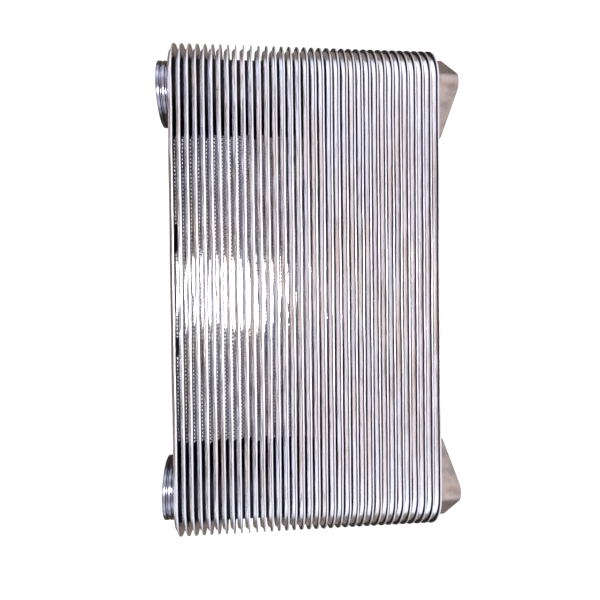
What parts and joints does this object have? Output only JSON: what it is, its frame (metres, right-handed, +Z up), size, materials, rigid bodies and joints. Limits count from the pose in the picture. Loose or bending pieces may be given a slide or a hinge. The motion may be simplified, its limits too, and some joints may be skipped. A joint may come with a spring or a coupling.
{
  "type": "plate heat exchanger core",
  "caption": "Stacked stainless plate oil cooler core with corrugated fins between flat elements, two grooved spigots and two square mounting blocks.",
  "frame": {"origin": "centre of the footprint, on the surface that the plates' long straight rims stand on", "axes": "+X through the stack from the spigots to the mounting blocks, +Y along the plates towards the upper port, +Z up from the floor"},
  "size_m": [0.2834, 0.48, 0.084],
  "materials": {
    "plate_steel": "bright cold-rolled stainless sheet, drawn, sheared and brazed at the rim",
    "fin_steel": "thin bright stainless strip, corrugated",
    "turbulator_steel": "thin stainless strip, corrugated, oil side",
    "collar_steel": "blanked stainless ring, furnace brazed",
    "turned_steel": "fine-turned stainless steel, bright",
    "block_steel": "milled steel block with faint cutter marks"
  },
  "bodies": {
    "root": {"element_01": "plate_steel", "element_02": "plate_steel", "element_03": "plate_steel", "element_04": "plate_steel", "element_05": "plate_steel", "element_06": "plate_steel", "element_07": "plate_steel", "element_08": "plate_steel", "element_09": "plate_steel", "element_10": "plate_steel", "element_11": "plate_steel", "element_12": "plate_steel", "element_13": "plate_steel", "element_14": "plate_steel", "element_15": "plate_steel", "element_16": "plate_steel", "element_17": "plate_steel", "element_18": "plate_steel", "element_19": "plate_steel", "element_20": "plate_steel", "element_21": "plate_steel", "element_22": "plate_steel", "element_23": "plate_steel", "element_24": "plate_steel", "element_25": "plate_steel", "element_26": "plate_steel", "element_27": "plate_steel", "element_28": "plate_steel", "element_29": "plate_steel", "element_30": "plate_steel", "element_31": "plate_steel", "element_32": "plate_steel", "element_33": "plate_steel", "element_34": "plate_steel", "element_35": "plate_steel", "first_gap_fins_upper": "fin_steel", "first_gap_fins_middle": "fin_steel", "first_gap_fins_lower": "fin_steel", "coolant_fins_upper": "fin_steel", "coolant_fins_middle": "fin_steel", "coolant_fins_lower": "fin_steel", "oil_turbulators": "turbulator_steel", "port_collars_upper": "collar_steel", "port_collars_lower": "collar_steel", "spigot_upper": "turned_steel", "spigot_lower": "turned_steel", "mounting_block_upper": "block_steel", "mounting_block_lower": "block_steel"}
  },
  "joints": []
}
